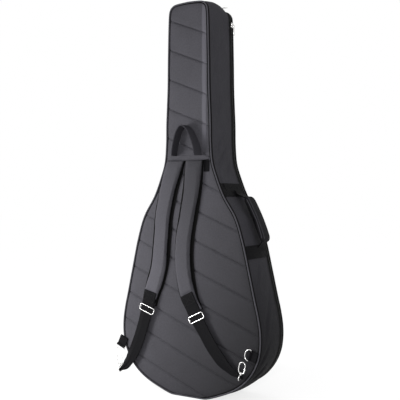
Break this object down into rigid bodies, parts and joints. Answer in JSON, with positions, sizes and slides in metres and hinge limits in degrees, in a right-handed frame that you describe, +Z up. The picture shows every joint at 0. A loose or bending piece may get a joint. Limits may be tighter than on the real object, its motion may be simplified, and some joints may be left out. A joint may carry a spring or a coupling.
{
  "type": "padded gig bag",
  "caption": "Padded guitar-shaped gig bag with zipped lid, front pocket, two backpack straps, side carry handle and hang loop.",
  "frame": {"origin": "middle of the flat patch on the bottom of the gusset that the bag stands on", "axes": "+Z up the bag towards the head, -Y out of the strap side, +Y out of the lid side, +X out of the carry-handle side"},
  "size_m": [0.4701, 0.205, 1.1108],
  "materials": {
    "shell_fabric": "charcoal woven nylon with a faint sheen",
    "grip_fabric": "dark woven nylon over padding",
    "foam": "closed-cell foam padding",
    "lining": "soft brushed lining",
    "piping": "woven cover over a cord",
    "zipper_tape": "woven tape with coil teeth",
    "webbing": "ribbed polypropylene webbing",
    "plated_steel": "bright nickel-plated wire"
  },
  "bodies": {
    "bag": {"back_panel_outer": "shell_fabric", "back_panel_foam": "foam", "back_panel_lining": "lining", "back_piping": "piping", "gusset_outer": "shell_fabric", "gusset_foam": "foam", "gusset_lining": "lining", "zipper_tape_body": "zipper_tape", "neck_cradle": "foam", "end_pin_pad": "lining", "neck_strap_anchor": "webbing", "upper_handle_band": "webbing", "lower_handle_band": "webbing", "yoke_band": "webbing", "yoke_side_tab": "webbing", "left_side_tab": "webbing", "right_side_tab": "webbing"},
    "lid": {"lid_outer": "shell_fabric", "lid_foam": "foam", "lid_lining": "lining", "zipper_tape_lid": "zipper_tape", "lid_piping": "piping", "pocket_panel": "shell_fabric", "pocket_zipper_tape": "zipper_tape"},
    "side_zipper_slider": {"side_zipper_slider": "plated_steel"},
    "side_zipper_pull": {"side_zipper_pull": "plated_steel"},
    "top_zipper_slider": {"top_zipper_slider": "plated_steel"},
    "top_zipper_pull": {"top_zipper_pull": "plated_steel"},
    "pocket_slider": {"pocket_slider": "plated_steel"},
    "pocket_pull": {"pocket_pull": "plated_steel"},
    "carry_handle": {"handle_webbing": "webbing", "handle_grip": "grip_fabric"},
    "hang_loop": {"hang_loop": "webbing"},
    "neck_strap": {"neck_strap": "webbing"},
    "left_strap": {"left_shoulder_pad": "shell_fabric", "left_strap_patch": "webbing", "left_buckle": "plated_steel"},
    "left_webbing": {"left_strap_webbing": "webbing"},
    "left_hook_eye": {"left_hook_eye": "plated_steel"},
    "left_snap_hook": {"left_snap_hook": "plated_steel"},
    "left_hook_gate": {"left_hook_gate": "plated_steel"},
    "left_d_ring": {"left_d_ring": "plated_steel"},
    "right_strap": {"right_shoulder_pad": "shell_fabric", "right_strap_patch": "webbing", "right_buckle": "plated_steel"},
    "right_webbing": {"right_strap_webbing": "webbing"},
    "right_hook_eye": {"right_hook_eye": "plated_steel"},
    "right_snap_hook": {"right_snap_hook": "plated_steel"},
    "right_hook_gate": {"right_hook_gate": "plated_steel"},
    "right_d_ring": {"right_d_ring": "plated_steel"}
  },
  "joints": [
    {"name": "lid_opening", "type": "hinge", "parent": "bag", "child": "lid", "pos_m": [-0.228, 0.072, 0.55], "axis": [0, 0, 1], "range_deg": [0, 170]},
    {"name": "side_zipper_travel", "type": "slide", "parent": "bag", "child": "side_zipper_slider", "axis": [0.0312, 0, -0.9995], "range_m": [0, 0.2]},
    {"name": "side_zipper_pull_swing", "type": "hinge", "parent": "side_zipper_slider", "child": "side_zipper_pull", "pos_m": [0.0722, 0.0615, 1.0562], "axis": [0, -1, 0], "range_deg": [0, 100]},
    {"name": "top_zipper_travel", "type": "slide", "parent": "bag", "child": "top_zipper_slider", "axis": [-1, 0, 0], "range_m": [0, 0.04]},
    {"name": "top_zipper_pull_swing", "type": "hinge", "parent": "top_zipper_slider", "child": "top_zipper_pull", "pos_m": [0.0198, 0.0615, 1.1092], "axis": [0, -1, 0], "range_deg": [0, 100]},
    {"name": "pocket_zipper_travel", "type": "slide", "parent": "lid", "child": "pocket_slider", "axis": [-1, 0, 0], "range_m": [0, 0.198]},
    {"name": "pocket_pull_swing", "type": "hinge", "parent": "pocket_slider", "child": "pocket_pull", "pos_m": [0.099, 0.1026, 0.3576], "axis": [1, 0, 0], "range_deg": [0, 100]},
    {"name": "carry_handle_rock", "type": "hinge", "parent": "bag", "child": "carry_handle", "pos_m": [0.14691, 0.018, 0.49352], "axis": [-0.4045, 0, 0.9146], "range_deg": [-15, 15]},
    {"name": "hang_loop_swing", "type": "hinge", "parent": "bag", "child": "hang_loop", "pos_m": [0.0045, -0.0748, 0.672], "axis": [1, 0, 0], "range_deg": [0, 30]},
    {"name": "neck_strap_swing", "type": "hinge", "parent": "bag", "child": "neck_strap", "pos_m": [-0.0422, 0.028, 0.84], "axis": [0, 0, 1], "range_deg": [0, 14]},
    {"name": "left_strap_swing", "type": "hinge", "parent": "bag", "child": "left_strap", "pos_m": [0, -0.076, 0.6568], "axis": [-1, 0, 0], "range_deg": [0, 60]},
    {"name": "left_webbing_adjust", "type": "slide", "parent": "left_strap", "child": "left_webbing", "axis": [-0.3213, 0, -0.947], "range_m": [0, 0.04]},
    {"name": "left_hook_turn", "type": "hinge", "parent": "left_webbing", "child": "left_hook_eye", "pos_m": [-0.225, -0.0876, 0.054], "axis": [0.9959, 0, 0.0905], "range_deg": [0, 170]},
    {"name": "left_hook_swivel", "type": "hinge", "parent": "left_hook_eye", "child": "left_snap_hook", "pos_m": [-0.225, -0.087, 0.054], "axis": [-0.0905, 0, 0.9959], "continuous": true},
    {"name": "left_hook_gate_open", "type": "hinge", "parent": "left_snap_hook", "child": "left_hook_gate", "pos_m": [-0.21797, -0.087, 0.07392], "axis": [0, -1, 0], "range_deg": [0, 20], "stiffness_Nm_per_rad": 0.02, "springref_deg": -11.46},
    {"name": "left_d_ring_swing", "type": "hinge", "parent": "bag", "child": "left_d_ring", "pos_m": [-0.2285, -0.079, 0.121], "axis": [-0.9153, 0, 0.4027], "range_deg": [0, 100]},
    {"name": "right_strap_swing", "type": "hinge", "parent": "bag", "child": "right_strap", "pos_m": [0, -0.076, 0.6568], "axis": [-1, 0, 0], "range_deg": [0, 60]},
    {"name": "right_webbing_adjust", "type": "slide", "parent": "right_strap", "child": "right_webbing", "axis": [0.4614, 0, -0.8872], "range_m": [0, 0.04]},
    {"name": "right_hook_turn", "type": "hinge", "parent": "right_webbing", "child": "right_hook_eye", "pos_m": [0.169, -0.0876, 0.0793], "axis": [0.9756, 0, -0.2193], "range_deg": [0, 170]},
    {"name": "right_hook_swivel", "type": "hinge", "parent": "right_hook_eye", "child": "right_snap_hook", "pos_m": [0.169, -0.087, 0.0793], "axis": [0.2193, 0, 0.9756], "continuous": true},
    {"name": "right_hook_gate_open", "type": "hinge", "parent": "right_snap_hook", "child": "right_hook_gate", "pos_m": [0.1818, -0.087, 0.0961], "axis": [0, -1, 0], "range_deg": [0, 20], "stiffness_Nm_per_rad": 0.02, "springref_deg": -11.46},
    {"name": "right_d_ring_swing", "type": "hinge", "parent": "bag", "child": "right_d_ring", "pos_m": [0.194, -0.079, 0.139], "axis": [0.3011, 0, 0.9536], "range_deg": [0, 100]}
  ]
}
